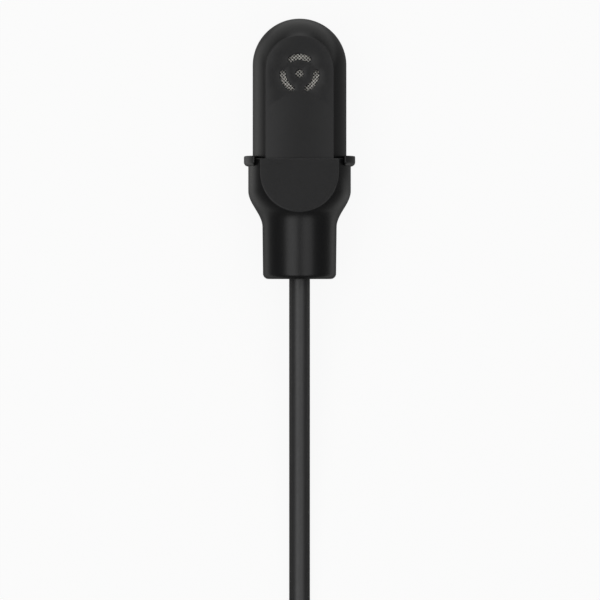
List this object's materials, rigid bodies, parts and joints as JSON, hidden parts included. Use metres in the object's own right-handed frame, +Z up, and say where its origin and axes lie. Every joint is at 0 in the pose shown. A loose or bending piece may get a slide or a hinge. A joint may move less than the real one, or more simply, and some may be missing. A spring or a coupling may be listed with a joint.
{
  "type": "lavalier microphone",
  "caption": "Miniature clip-on condenser microphone with a flat-faced slotted head, eared sleeve, thin cable wound in a tied hank, and a screw-locking plug.",
  "frame": {"origin": "on the surface the microphone lies on, under the middle of its head and sleeve", "axes": "+Y along the microphone to the top of the head, +Z up out of the slotted face, +X to the right seen from the face; the cable leaves along -Y"},
  "size_m": [0.0222, 0.1054, 0.0184],
  "materials": {
    "black_housing": "fine matte",
    "black_sleeve": "fine matte",
    "steel_mesh": "woven wire",
    "grey_gasket": "foam",
    "membrane_cloth": "woven",
    "silicone": "satin",
    "aluminium_can": "satin",
    "brass": "plain",
    "capsule_plastic": "plain",
    "circuit_board": "resist",
    "black_plastic": "plain",
    "solder": "bright",
    "red_wire": "plain",
    "black_wire": "plain",
    "black_rubber": "satin",
    "black_cable": "satin",
    "black_strap": "woven",
    "black_metal": "satin",
    "nickel": "bright"
  },
  "bodies": {
    "microphone": {"front_housing": "black_housing", "rear_housing": "black_housing", "grille_mesh": "steel_mesh", "mesh_gasket": "grey_gasket", "membrane": "membrane_cloth", "capsule_boot": "silicone", "capsule_can": "aluminium_can", "diaphragm": "brass", "spacer_ring": "capsule_plastic", "backplate": "brass", "backplate_holder": "capsule_plastic", "contact_ring": "brass", "capsule_board": "circuit_board", "transistor": "black_plastic", "solder_terminals": "solder", "signal_wire": "red_wire", "ground_wire": "black_wire", "sleeve": "black_sleeve", "socket_seal": "silicone", "cable_bush": "black_rubber", "crimp_ferrule": "brass", "cord_lead": "black_cable", "cord_hank": "black_cable", "cord_tail": "black_cable", "hank_tie": "black_strap", "cable_boot": "black_rubber", "back_shell": "black_metal", "insulating_liner": "capsule_plastic", "cable_clamp": "nickel", "connector_wire": "red_wire", "plug_sleeve": "nickel", "plug_insulator": "black_plastic", "plug_tip": "nickel", "collar_clip": "nickel"},
    "collar": {"locking_collar": "black_metal"}
  },
  "joints": [
    {"name": "collar_turn", "type": "hinge", "parent": "microphone", "child": "collar", "pos_m": [0, -0.0761, 0.0137], "axis": [0, -1, 0], "continuous": true}
  ]
}
